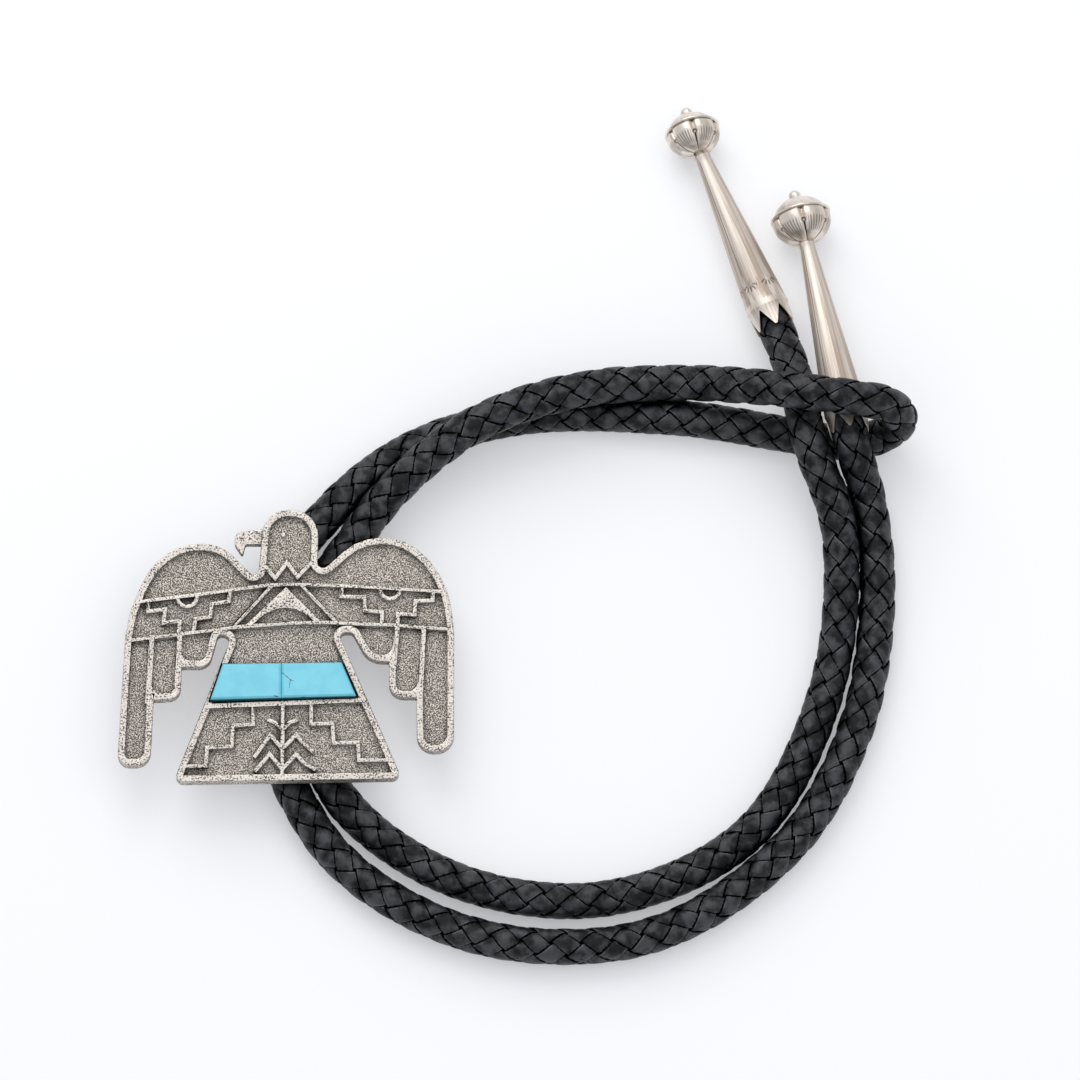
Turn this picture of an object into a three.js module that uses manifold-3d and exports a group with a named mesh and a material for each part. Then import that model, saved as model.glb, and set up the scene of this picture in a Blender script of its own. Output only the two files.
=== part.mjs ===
// A bolo tie: a cast silver slide shaped as a thunderbird, with a band of turquoise in two stones,
// on a braided leather cord that ends in two silver tips.
// Millimetres. The origin lies on the surface, under the middle of the slide.
// X runs across the slide, Y from its tail to its head, Z up from the surface.
import * as THREE from "three";
import { mergeVertices } from "three/addons/utils/BufferGeometryUtils.js";
import Module from "manifold-3d";

const wasm = await Module();
wasm.setup();

// Clearance between two pieces that touch on the real tie
const FIT_GAP = 0.3;

// Braided cord
const CORD_DIAMETER = 8.3;
const CORD_SIDES = 10;
const CORD_STEPS_PER_POINT = 2;
const CORD_INSERT = 1.5;

// Back clasp: a floor and three walls that make two channels for the cord
const CLASP_LENGTH = 18;
const CLASP_FLOOR = 1;
const CLASP_WALL = 1.2;
const CHANNEL_PLAY = 0.6;

// Cast slide
const SLIDE_WIDTH = 75.6;
const SLIDE_HEIGHT = 62.8;
const FLOOR_THICKNESS = 1.8;
const RELIEF_HEIGHT = 1.1;
const BEAK_RISE = 0.4;
const RIM_WIDTH = 1.55;
const RIB_WIDTH = 1.3;
const LINE_WIDTH = 0.95;
const EYE_RADIUS = 0.6;

// Turquoise band
const STONE_THICKNESS = 2.2;
const STONE_BEVEL = 0.4;

// Cord tips
const BALL_DIAMETER = 12.1;
const BALL_DEPTH = 10.1;
const BALL_RING = 0.4;
const RING_OFFSET = 1.1;
const BALL_LOBES = 6;
const LOBE_DEPTH = 0.35;
const CONE_LENGTH = 43.8;
const NECK_DIAMETER = 3.4;
const MOUTH_WALL = 0.45;
const TEETH_LENGTH = 5;
const TEETH = 6;
const TOOTH_POINT = 0.6;
const END_BEAD_DIAMETER = 2.8;
const ROUND_SIDES = 24;

// Roundness of arcs in the flat outlines, radians for each step
const ARC_STEP = 0.26;

const channelX = (CORD_DIAMETER + CLASP_WALL) / 2 + CHANNEL_PLAY;
const channelZ = CLASP_FLOOR + FIT_GAP + CORD_DIAMETER / 2;
const plateBottom = channelZ + CORD_DIAMETER / 2 + FIT_GAP;
const floorTop = plateBottom + FLOOR_THICKNESS;
const reliefTop = floorTop + RELIEF_HEIGHT;
const lying = CORD_DIAMETER / 2;

// Outline of the slide without its beak, clockwise from the neck's right notch.
// x and round are shares of SLIDE_WIDTH, y is a share of SLIDE_HEIGHT, measured from the middle.
const OUTLINE = [
  { at: "right neck notch", x: 0.094, y: 0.268, round: 0.017 },
  { at: "right wing crown, inside", x: 0.219, y: 0.408, round: 0.165 },
  { at: "right wing crown, outside", x: 0.342, y: 0.408, round: 0.15 },
  { at: "right shoulder, high", x: 0.43, y: 0.329, round: 0.22 },
  { at: "right shoulder, low", x: 0.485, y: 0.208, round: 0.25 },
  { at: "right wing side", x: 0.501, y: 0.072, round: 0.3 },
  { at: "right outer finger, outside", x: 0.501, y: -0.386, round: 0.054 },
  { at: "right outer finger, inside", x: 0.391, y: -0.386, round: 0.05 },
  { at: "right outer step", x: 0.389, y: -0.185, round: 0.005 },
  { at: "right middle finger", x: 0.308, y: -0.185, round: 0.042 },
  { at: "right inner step", x: 0.308, y: -0.052, round: 0.005 },
  { at: "right inner finger", x: 0.247, y: -0.052, round: 0.065 },
  { at: "right armpit, outside", x: 0.199, y: 0.056, round: 0.015 },
  { at: "right armpit, inside", x: 0.156, y: 0.056, round: 0.015 },
  { at: "tail, right corner", x: 0.347, y: -0.487, round: 0.02 },
  { at: "tail, left corner", x: -0.332, y: -0.5, round: 0.02 },
  { at: "left armpit, inside", x: -0.158, y: 0.047, round: 0.02 },
  { at: "left armpit, outside", x: -0.2, y: 0.047, round: 0.014 },
  { at: "left inner finger", x: -0.226, y: -0.073, round: 0.04 },
  { at: "left inner step", x: -0.308, y: -0.073, round: 0.005 },
  { at: "left middle finger", x: -0.311, y: -0.192, round: 0.039 },
  { at: "left outer step", x: -0.391, y: -0.195, round: 0.005 },
  { at: "left outer finger, inside", x: -0.4, y: -0.438, round: 0.046 },
  { at: "left outer finger, outside", x: -0.4985, y: -0.438, round: 0.036 },
  { at: "left wing side, low", x: -0.476, y: 0.03, round: 0.3 },
  { at: "left wing side, high", x: -0.468, y: 0.128, round: 0.4 },
  { at: "left shoulder", x: -0.398, y: 0.309, round: 0.21 },
  { at: "left wing crown, outside", x: -0.307, y: 0.385, round: 0.16 },
  { at: "left wing crown, inside", x: -0.193, y: 0.385, round: 0.118 },
  { at: "left neck notch", x: -0.082, y: 0.247, round: 0.016 },
  { at: "head, left of the top", x: -0.063, y: 0.512, round: 0.076 },
  { at: "head, right of the top", x: 0.099, y: 0.512, round: 0.08 },
];

// Beak: a thin hooked plate that grows out of the head, in the same shares
const BEAK = [
  { at: "root, top", x: -0.052, y: 0.447, round: 0 },
  { at: "root, bottom", x: -0.052, y: 0.386, round: 0 },
  { at: "mouth", x: -0.119, y: 0.386, round: 0.007 },
  { at: "tip", x: -0.128, y: 0.343, round: 0.004 },
  { at: "front", x: -0.153, y: 0.388, round: 0.024 },
  { at: "brow", x: -0.146, y: 0.431, round: 0.018 },
];

const EYE = { x: -0.007, y: 0.422 };

// Raised lines, each a run of corners in the same shares
const LINES = [
  { of: "upper band", run: [[-0.47, 0.164], [-0.25, 0.198], [-0.06, 0.23], [0, 0.235]] },
  { of: "upper band", run: [[0, 0.235], [0.15, 0.23], [0.32, 0.219], [0.48, 0.207]] },
  { of: "lower band", run: [[-0.48, 0.023], [-0.31, 0.049], [-0.15, 0.075], [0.01, 0.09]] },
  { of: "lower band", run: [[0.01, 0.09], [0.11, 0.093], [0.29, 0.084], [0.49, 0.069]] },
  { of: "left cloud, down", run: [[-0.406, 0.17], [-0.409, 0.134], [-0.357, 0.142], [-0.362, 0.091]] },
  { of: "left cloud, down", run: [[-0.362, 0.091], [-0.313, 0.099], [-0.317, 0.05]] },
  { of: "left cloud, up", run: [[-0.165, 0.21], [-0.168, 0.171], [-0.22, 0.162], [-0.222, 0.114]] },
  { of: "left cloud, up", run: [[-0.222, 0.114], [-0.268, 0.106], [-0.272, 0.056]] },
  { of: "right cloud, down", run: [[0.168, 0.228], [0.165, 0.19], [0.235, 0.187], [0.236, 0.138]] },
  { of: "right cloud, down", run: [[0.236, 0.138], [0.287, 0.132], [0.286, 0.084]] },
  { of: "right cloud, up", run: [[0.4375, 0.21], [0.4375, 0.175], [0.3855, 0.173], [0.384, 0.121]] },
  { of: "right cloud, up", run: [[0.384, 0.121], [0.334, 0.125], [0.334, 0.082]] },
  { of: "mountain, left", run: [[-0.042, 0.228], [-0.152, 0.082]] },
  { of: "mountain, right", run: [[0.048, 0.23], [0.155, 0.09]] },
  { of: "collar", run: [[-0.074, 0.322], [-0.031, 0.257], [0.0045, 0.3155], [0.036, 0.262], [0.08, 0.32]] },
  { of: "left tail steps", run: [[-0.095, -0.222], [-0.095, -0.285], [-0.155, -0.29], [-0.158, -0.367]] },
  { of: "left tail steps", run: [[-0.158, -0.367], [-0.232, -0.371], [-0.235, -0.4385], [-0.3, -0.4415]] },
  { of: "right tail steps", run: [[0.077, -0.214], [0.077, -0.2835], [0.14, -0.282], [0.144, -0.3545]] },
  { of: "right tail steps", run: [[0.144, -0.3545], [0.216, -0.3525], [0.219, -0.418], [0.305, -0.417]] },
  { of: "corn stem", run: [[-0.007, -0.216], [-0.009, -0.48]] },
  { of: "corn, top left leaf", run: [[-0.0475, -0.27], [-0.03, -0.279], [-0.0075, -0.306]] },
  { of: "corn, top right leaf", run: [[0.036, -0.269], [0.013, -0.279], [-0.0075, -0.306]] },
  { of: "corn, middle left leaf", run: [[-0.008, -0.377], [-0.0445, -0.3245], [-0.089, -0.403]] },
  { of: "corn, middle right leaf", run: [[-0.008, -0.377], [0.033, -0.323], [0.05, -0.351], [0.08, -0.384]] },
  { of: "corn, low left leaf", run: [[-0.009, -0.4515], [-0.046, -0.3955], [-0.086, -0.455]] },
  { of: "corn, low right leaf", run: [[-0.005, -0.449], [0.033, -0.3955], [0.056, -0.429], [0.086, -0.45]] },
];

// Wider ribs, between the fingers of the wings and under the stones
const RIBS = [
  { of: "left outer rib", run: [[-0.397, 0.036], [-0.402, -0.086], [-0.408, -0.2]] },
  { of: "left inner rib", run: [[-0.314, 0.05], [-0.319, -0.085]] },
  { of: "right inner rib", run: [[0.332, 0.08], [0.322, -0.07]] },
  { of: "right outer rib", run: [[0.411, 0.074], [0.401, -0.195]] },
  { of: "under the stones", run: [[-0.245, -0.2195], [0, -0.2075], [0.235, -0.1945]] },
];

// Rounded corners where the ribs meet the ends of the inner and middle fingers, open towards `side`
const FILLET_RADIUS = 2.1;
const FILLETS = [
  { of: "left inner finger", x: -0.3085, y: -0.0486, side: 1 },
  { of: "left middle finger", x: -0.397, y: -0.168, side: 1 },
  { of: "right inner finger", x: 0.3165, y: -0.0276, side: -1 },
  { of: "right middle finger", x: 0.3925, y: -0.1605, side: -1 },
];

// Half rounds that hang from the upper band: rain cloud and its middle, radius a share of SLIDE_WIDTH
const HALF_ROUNDS = [
  { x: -0.292, y: 0.187, radius: 0.029, turn: 0.15 },
  { x: 0.311, y: 0.217, radius: 0.03, turn: -0.04 },
];

// Raised field between the mountain's peak and the arch below it
const PEAK = {
  top: [0.0015, 0.225],
  left: [-0.118, 0.084],
  right: [0.11, 0.092],
  archLeft: [-0.098, 0.084],
  archRight: [0.09, 0.092],
  archCrown: [-0.002, 0.205],
};

// Turquoise band: the corners of both stones together, and the seam between them
const BAND = {
  topLeft: [-0.186, -0.066],
  topRight: [0.167, -0.06],
  bottomRight: [0.21, -0.184],
  bottomLeft: [-0.222, -0.198],
  seam: -0.012,
};

// Cord route from the right tip to the left one, x, y and z of points on its middle line.
// It lies on the surface, passes behind the slide twice, and folds at the neck over both tails.
const CORD_ROUTE = [
  [125.6, 56.1, 12.8],
  [127.0, 48.9, 13.45],
  [131.1, 35.2, 6.2],
  [133.0, 14.0, lying],
  [128.1, -16.4, lying],
  [112.9, -43.9, lying],
  [81.9, -64.7, lying],
  [43.3, -64.9, lying],
  [11.2, -46.0, lying],
  [-channelX, -11.5, channelZ],
  [-channelX, 0, channelZ],
  [-channelX, 11.5, channelZ],
  [6.9, 30.6, 4.6],
  [26.0, 47.5, lying],
  [51.7, 56.1, lying],
  [87.6, 56.2, lying],
  [127.6, 50.3, lying],
  [135.2, 52.0, 6.7],
  [138.0, 53.4, 13.3],
  [135.2, 54.8, 19.8],
  [127.6, 55.5, 22.6],
  [108.0, 59.4, 17.4],
  [90.0, 62.6, 10.1],
  [66.0, 60.4, 12.0],
  [42.8, 52.3, 12.4],
  [24.8, 38.4, 9.4],
  [14.8, 26.2, 5.6],
  [channelX, 11.5, channelZ],
  [channelX, 0, channelZ],
  [channelX, -11.5, channelZ],
  [12.7, -33.2, 4.3],
  [38.2, -51.8, lying],
  [71.9, -56.1, lying],
  [103.8, -41.2, lying],
  [121.4, -7.9, lying],
  [124.5, 27.5, 8.5],
  [118.0, 47.6, 13.0],
  [114.6, 63.6, 9.4],
  [110.3, 76.8, 5.6],
  [107.9, 82.8, 5.65],
];

// The two tips: which end of the cord each one holds, where its cone points in degrees, and its size.
// Each ball is soldered on a little bent, so it has its own direction.
const TIPS = [
  { name: "tip_right", end: 0, heading: 101.8, tilt: -7.15, ballHeading: 104, ballTilt: -9, size: 1.1 },
  {
    name: "tip_left",
    end: CORD_ROUTE.length - 1,
    heading: 112.5,
    tilt: 1,
    ballHeading: 105,
    ballTilt: -15,
    size: 1,
  },
];

const SILVER = new THREE.MeshStandardMaterial({ color: 0x8d867d, roughness: 0.5, metalness: 1 });
const POLISHED = new THREE.MeshStandardMaterial({ color: 0xd6d0c8, roughness: 0.25, metalness: 1 });
const TURQUOISE = new THREE.MeshStandardMaterial({ color: 0x7ad3ea, roughness: 0.35, metalness: 0 });
const LEATHER = new THREE.MeshStandardMaterial({ color: 0x1d1e20, roughness: 0.5, metalness: 0 });
const NICKEL = new THREE.MeshStandardMaterial({ color: 0xb9b7b2, roughness: 0.35, metalness: 1 });

// A closed geometry as a solid that can be joined and cut.
function solidOf(geometry) {
  const bare = geometry.clone();
  bare.deleteAttribute("normal");
  bare.deleteAttribute("uv");
  const merged = mergeVertices(bare, 1e-4);
  const vertProperties = merged.attributes.position.array;
  const triVerts = new Uint32Array(merged.index.array);
  return new wasm.Manifold(new wasm.Mesh({ numProp: 3, vertProperties, triVerts }));
}

// A solid back as a geometry with its own normals.
function geometryOf(solid) {
  const mesh = solid.getMesh();
  const geometry = new THREE.BufferGeometry();
  geometry.setAttribute("position", new THREE.BufferAttribute(mesh.vertProperties, 3));
  geometry.setIndex(new THREE.BufferAttribute(mesh.triVerts, 1));
  geometry.computeVertexNormals();
  return geometry;
}

function meshOf(name, geometry, material) {
  const mesh = new THREE.Mesh(geometry, material);
  mesh.name = name;
  return mesh;
}

// A point of the slide from its shares of the width and the height.
function onSlide([x, y]) {
  return new THREE.Vector2(x * SLIDE_WIDTH, y * SLIDE_HEIGHT);
}

// Corners of a table as points with a radius each, in millimetres.
function cornersOf(rows) {
  return rows.map((row) => ({
    point: onSlide([row.x, row.y]),
    radius: row.round * SLIDE_WIDTH,
  }));
}

// A clockwise outline moved inwards by one distance all round: its corners keep their arcs' centres.
function insetCorners(corners, distance) {
  return corners.map((corner, i) => {
    const before = corners.at(i - 1).point;
    const after = corners[(i + 1) % corners.length].point;
    const into = corner.point.clone().sub(before).normalize();
    const out = after.clone().sub(corner.point).normalize();
    const turn = into.cross(out);
    const inwards = new THREE.Vector2(into.y + out.y, -into.x - out.x);
    const shift = distance / (1 + into.dot(out));
    const radius = Math.max(corner.radius + Math.sign(turn) * distance, 0);
    return { point: corner.point.clone().addScaledVector(inwards, shift), radius };
  });
}

// The corners with each arc limited by the edges beside it, so that two arcs never meet on one edge.
function fittingCorners(corners) {
  const edges = corners.map((corner, i) => {
    const next = corners[(i + 1) % corners.length];
    return next.point.clone().sub(corner.point);
  });
  const reaches = corners.map((corner, i) => {
    const turn = edges.at(i - 1).angleTo(edges[i]);
    return corner.radius * Math.tan(turn / 2);
  });
  const shares = edges.map((edge, i) => {
    const share = edge.length() / (reaches[i] + reaches[(i + 1) % reaches.length]);
    return share < 1 ? share * 0.98 : 1;
  });
  return corners.map(({ point, radius }, i) => ({
    point,
    radius: radius * Math.min(shares[i], shares.at(i - 1)),
  }));
}

// Points along a closed run of corners, with an arc of its own radius at each corner.
function roundedRun(corners) {
  const points = [];
  corners.forEach((corner, i) => {
    const before = corners.at(i - 1).point;
    const after = corners[(i + 1) % corners.length].point;
    const into = corner.point.clone().sub(before).normalize();
    const out = after.clone().sub(corner.point).normalize();
    const turn = Math.atan2(into.cross(out), into.dot(out));
    const reach = corner.radius * Math.tan(Math.abs(turn) / 2);
    const start = corner.point.clone().addScaledVector(into, -reach);
    const side = new THREE.Vector2(-into.y, into.x).multiplyScalar(Math.sign(turn) * corner.radius);
    const centre = start.clone().add(side);
    const steps = corner.radius > 0 ? Math.max(1, Math.ceil(Math.abs(turn) / ARC_STEP)) : 0;
    for (let k = 0; k <= steps; k++) {
      const share = steps > 0 ? k / steps : 0;
      points.push(start.clone().rotateAround(centre, turn * share));
    }
  });
  return points;
}

// A flat outline raised from one height to another.
function raised(points, bottom, top) {
  const shape = new THREE.Shape(points);
  const geometry = new THREE.ExtrudeGeometry(shape, { depth: top - bottom, bevelEnabled: false });
  geometry.translate(0, 0, bottom);
  return solidOf(geometry);
}

// The two edges of a strip of one width along an open run of points, as one closed outline.
function strip(run, width) {
  const left = [];
  const right = [];
  run.forEach((point, i) => {
    const into = point.clone().sub(run[Math.max(i - 1, 0)]);
    const out = run[Math.min(i + 1, run.length - 1)].clone().sub(point);
    const first = (i > 0 ? into : out).normalize();
    const second = (i < run.length - 1 ? out : into).normalize();
    const normal = new THREE.Vector2(-first.y - second.y, first.x + second.x);
    const reach = width / 2 / (1 + first.dot(second));
    left.push(point.clone().addScaledVector(normal, reach));
    right.unshift(point.clone().addScaledVector(normal, -reach));
  });
  return left.concat(right);
}

// One raised line of the relief. Its end squares reach half a width past its last points.
function relief(run, width) {
  const points = run.map(onSlide);
  const stretch = width / 2;
  const last = points.length - 1;
  const start = points[0].clone().sub(points[1]).setLength(stretch);
  const finish = points[last].clone().sub(points[last - 1]).setLength(stretch);
  points[0].add(start);
  points[last].add(finish);
  return raised(strip(points, width), floorTop - FLOOR_THICKNESS / 2, reliefTop);
}

function fillet({ x, y, side }) {
  const corner = onSlide([x, y]);
  const overlap = 0.3;
  const points = [
    new THREE.Vector2(-overlap, -overlap),
    new THREE.Vector2(FILLET_RADIUS, -overlap),
  ];
  for (let k = 0; k <= 6; k++) {
    const angle = (Math.PI / 12) * k;
    points.push(new THREE.Vector2(1 - Math.sin(angle), 1 - Math.cos(angle)).multiplyScalar(FILLET_RADIUS));
  }
  points.push(new THREE.Vector2(-overlap, FILLET_RADIUS));
  const placed = points.map((point) => new THREE.Vector2(corner.x + point.x * side, corner.y + point.y));
  return raised(placed, plateBottom, reliefTop);
}

function halfRound({ x, y, radius, turn }) {
  const centre = onSlide([x, y]);
  const run = [];
  const steps = 8;
  for (let k = 0; k <= steps; k++) {
    const angle = turn - (Math.PI * k) / steps;
    const arm = new THREE.Vector2(Math.cos(angle), Math.sin(angle));
    run.push(centre.clone().addScaledVector(arm, radius * SLIDE_WIDTH));
  }
  return raised(strip(run, LINE_WIDTH), floorTop - FLOOR_THICKNESS / 2, reliefTop);
}

function peakField() {
  const shape = new THREE.Shape();
  const [top, left, right] = [PEAK.top, PEAK.left, PEAK.right].map(onSlide);
  const [archLeft, archRight, crown] = [PEAK.archLeft, PEAK.archRight, PEAK.archCrown].map(onSlide);
  shape.moveTo(left.x, left.y);
  shape.lineTo(top.x, top.y);
  shape.lineTo(right.x, right.y);
  shape.lineTo(archRight.x, archRight.y);
  shape.quadraticCurveTo(crown.x, crown.y, archLeft.x, archLeft.y);
  return raised(shape.getPoints(10), floorTop - FLOOR_THICKNESS / 2, reliefTop);
}

// The stones' corners between two places along the band, 0 at its left end and 1 at its right.
function bandCorners(from, to, inset) {
  const [topLeft, topRight] = [BAND.topLeft, BAND.topRight].map(onSlide);
  const [bottomLeft, bottomRight] = [BAND.bottomLeft, BAND.bottomRight].map(onSlide);
  const corners = [
    bottomLeft.clone().lerp(bottomRight, from(bottomLeft.x, bottomRight.x)),
    topLeft.clone().lerp(topRight, from(topLeft.x, topRight.x)),
    topLeft.clone().lerp(topRight, to(topLeft.x, topRight.x)),
    bottomLeft.clone().lerp(bottomRight, to(bottomLeft.x, bottomRight.x)),
  ].map((point) => ({ point, radius: 0 }));
  return insetCorners(corners, inset).map((corner) => corner.point);
}

const bandStart = () => 0;
const bandEnd = () => 1;

// The share of the way from one x to another at which the seam lies, moved by a few tenths.
function seamAt(shift) {
  return (left, right) => (BAND.seam * SLIDE_WIDTH + shift - left) / (right - left);
}

function stone(from, to) {
  const bottom = floorTop + FIT_GAP;
  const shoulder = bottom + STONE_THICKNESS - STONE_BEVEL;
  const body = raised(bandCorners(from, to, 0), bottom, shoulder);
  const foot = bandCorners(from, to, 0);
  const table = bandCorners(from, to, STONE_BEVEL);
  const crown = new THREE.ExtrudeGeometry(new THREE.Shape(foot), {
    depth: STONE_BEVEL,
    bevelEnabled: false,
  });
  const position = crown.attributes.position;
  for (let i = 0; i < position.count; i++) {
    if (position.getZ(i) > STONE_BEVEL / 2) {
      const here = new THREE.Vector2(position.getX(i), position.getY(i));
      const nearest = foot.reduce((a, b) => (b.distanceTo(here) < a.distanceTo(here) ? b : a));
      const moved = table[foot.indexOf(nearest)];
      position.setXY(i, moved.x, moved.y);
    }
  }
  crown.translate(0, 0, shoulder);
  return body.add(solidOf(crown));
}

function slidePlate() {
  const corners = fittingCorners(cornersOf(OUTLINE));
  const edge = roundedRun(corners);
  const innerEdge = roundedRun(fittingCorners(insetCorners(corners, RIM_WIDTH)));
  const face = raised(edge, plateBottom, reliefTop);
  const field = raised(innerEdge, floorTop, reliefTop + RELIEF_HEIGHT);
  const pieces = [
    face.subtract(field),
    raised(roundedRun(cornersOf(BEAK)), plateBottom, floorTop + BEAK_RISE),
    ...LINES.map((line) => relief(line.run, LINE_WIDTH).intersect(face)),
    ...RIBS.map((rib) => relief(rib.run, RIB_WIDTH).intersect(face)),
    ...FILLETS.map(fillet),
    ...HALF_ROUNDS.map(halfRound),
    peakField(),
  ];
  const eye = new THREE.CylinderGeometry(EYE_RADIUS, EYE_RADIUS, RELIEF_HEIGHT, 10);
  const eyePlace = onSlide([EYE.x, EYE.y]);
  eye.rotateX(Math.PI / 2);
  eye.translate(eyePlace.x, eyePlace.y, floorTop);
  const whole = pieces.reduce((sum, piece) => sum.add(piece)).add(solidOf(eye));
  const pocket = raised(bandCorners(bandStart, bandEnd, -FIT_GAP), floorTop, reliefTop + RELIEF_HEIGHT);
  return meshOf("slide_plate", geometryOf(whole.subtract(pocket)), SILVER);
}

function turquoise() {
  const seamHalf = FIT_GAP / 2;
  return [
    meshOf("turquoise_left", geometryOf(stone(bandStart, seamAt(-seamHalf))), TURQUOISE),
    meshOf("turquoise_right", geometryOf(stone(seamAt(seamHalf), bandEnd)), TURQUOISE),
  ];
}

// The clasp's section: a floor with two outer walls and one between the cords, open towards the slide.
function backClasp() {
  const top = plateBottom - FIT_GAP;
  const slot = CORD_DIAMETER / 2 + CHANNEL_PLAY;
  const outer = channelX + slot + CLASP_WALL;
  const section = [
    [-outer, 0],
    [outer, 0],
    [outer, top],
    [channelX + slot, top],
    [channelX + slot, CLASP_FLOOR],
    [channelX - slot, CLASP_FLOOR],
    [channelX - slot, top],
    [slot - channelX, top],
    [slot - channelX, CLASP_FLOOR],
    [-channelX - slot, CLASP_FLOOR],
    [-channelX - slot, top],
    [-outer, top],
  ].map(([x, z]) => new THREE.Vector2(x, z));
  const geometry = new THREE.ExtrudeGeometry(new THREE.Shape(section), {
    depth: CLASP_LENGTH,
    bevelEnabled: false,
  });
  geometry.rotateX(Math.PI / 2);
  geometry.translate(0, CLASP_LENGTH / 2, 0);
  return meshOf("back_clasp", geometry, NICKEL);
}

// The cord's middle line, which never sinks below the surface that the cord lies on.
// Its steps are counted from route point to route point, so the tight bends get short ones.
class CordLine extends THREE.CatmullRomCurve3 {
  getPoint(t, target) {
    const point = super.getPoint(t, target);
    point.z = Math.max(point.z, lying);
    return point;
  }

  getUtoTmapping(share) {
    return share;
  }
}

function cord() {
  const line = new CordLine(CORD_ROUTE.map((row) => new THREE.Vector3(...row)), false, "centripetal");
  const section = new THREE.Shape();
  for (let k = 0; k < CORD_SIDES; k++) {
    const angle = (2 * Math.PI * k) / CORD_SIDES;
    const corner = new THREE.Vector2(Math.cos(angle), Math.sin(angle)).multiplyScalar(lying);
    if (k === 0) {
      section.moveTo(corner.x, corner.y);
    } else {
      section.lineTo(corner.x, corner.y);
    }
  }
  const steps = CORD_STEPS_PER_POINT * (CORD_ROUTE.length - 1);
  const geometry = new THREE.ExtrudeGeometry(section, { steps, extrudePath: line });
  return meshOf("braided_cord", geometry, LEATHER);
}

// Part of a ball as profile points, from one angle off the axis to another. Its depth is half its length.
function arcProfile(radius, depth, centre, from, to, steps) {
  const points = [];
  for (let k = 0; k <= steps; k++) {
    const angle = from + ((to - from) * k) / steps;
    points.push(new THREE.Vector2(radius * Math.sin(angle), centre - depth * Math.cos(angle)));
  }
  return points;
}

// The cone along +Y: its teeth start at 0, it holds the socket for the cord, and it ends inside the ball.
function coneSolid(size) {
  const depth = (BALL_DEPTH / 2) * size;
  const neck = NECK_DIAMETER / 2;
  const socket = lying + FIT_GAP;
  const mouth = socket + MOUTH_WALL;
  const socketEnd = TEETH_LENGTH + CORD_INSERT + FIT_GAP;
  const centre = TEETH_LENGTH + CONE_LENGTH * size;
  const profile = [
    new THREE.Vector2(0, socketEnd),
    new THREE.Vector2(socket, socketEnd),
    new THREE.Vector2(socket, 0),
    new THREE.Vector2(socket + MOUTH_WALL / 2, 0),
    new THREE.Vector2(mouth, TEETH_LENGTH),
    new THREE.Vector2(neck, centre - depth),
    new THREE.Vector2(neck, centre - depth / 2),
    new THREE.Vector2(0, centre - depth / 2),
  ];
  return solidOf(new THREE.LatheGeometry(profile, ROUND_SIDES)).subtract(toothGaps(socket, mouth));
}

// The flattened ball round the origin: its lobes are towards -Y, its end bead is on +Y.
function ballSolid(size) {
  const ball = (BALL_DIAMETER / 2) * size;
  const depth = (BALL_DEPTH / 2) * size;
  const bead = END_BEAD_DIAMETER / 2;
  const beadCentre = depth + bead * 0.6;
  const ringAngle = Math.PI / 2 + Math.asin(RING_OFFSET / depth);
  const ringRadius = ball * Math.sin(ringAngle) + BALL_RING;
  const profile = [
    new THREE.Vector2(0, -depth),
    ...arcProfile(ball, depth, 0, 0.14, ringAngle - 0.1, 7),
    new THREE.Vector2(ringRadius, RING_OFFSET - BALL_RING * 0.7),
    new THREE.Vector2(ringRadius, RING_OFFSET + BALL_RING * 0.7),
    ...arcProfile(ball - BALL_RING / 2, depth, 0, ringAngle + 0.1, Math.PI * 0.94, 5),
    ...arcProfile(bead, bead, beadCentre, Math.PI / 3, Math.PI, 5).slice(0, -1),
    new THREE.Vector2(0, beadCentre + bead),
  ];
  const geometry = new THREE.LatheGeometry(profile, ROUND_SIDES);
  const position = geometry.attributes.position;
  for (let i = 0; i < position.count; i++) {
    const [x, y, z] = [position.getX(i), position.getY(i), position.getZ(i)];
    const radius = Math.hypot(x, z);
    if (y < RING_OFFSET - BALL_RING * 2 && radius > 0) {
      const crease = 1 - Math.abs(Math.sin((BALL_LOBES / 2) * Math.atan2(x, z)));
      const scale = 1 - (LOBE_DEPTH * crease) / ball;
      position.setXYZ(i, x * scale, y, z * scale);
    }
  }
  return solidOf(geometry);
}

// Notches round the mouth, which leave pointed teeth.
function toothGaps(inner, outer) {
  const pitch = (2 * Math.PI * outer) / TEETH;
  const half = (pitch - TOOTH_POINT) / 2;
  const below = TEETH_LENGTH * 0.1;
  const depth = TEETH_LENGTH * 0.88;
  const notch = new THREE.Shape([
    new THREE.Vector2(-half * (1 + below / depth), -below),
    new THREE.Vector2(half * (1 + below / depth), -below),
    new THREE.Vector2(0, depth),
  ]);
  const gaps = [];
  for (let k = 0; k < TEETH; k++) {
    const geometry = new THREE.ExtrudeGeometry(notch, { depth: outer, bevelEnabled: false });
    geometry.translate(0, 0, inner * 0.6);
    geometry.rotateY(((k + 0.5) * 2 * Math.PI) / TEETH);
    gaps.push(solidOf(geometry));
  }
  return gaps.reduce((sum, gap) => sum.add(gap));
}

// A unit vector from a direction over the surface and a tilt above it, in degrees.
function direction(heading, tilt) {
  const turn = THREE.MathUtils.degToRad(heading);
  const rise = THREE.MathUtils.degToRad(tilt);
  const flat = Math.cos(rise);
  return new THREE.Vector3(flat * Math.cos(turn), flat * Math.sin(turn), Math.sin(rise));
}

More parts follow.
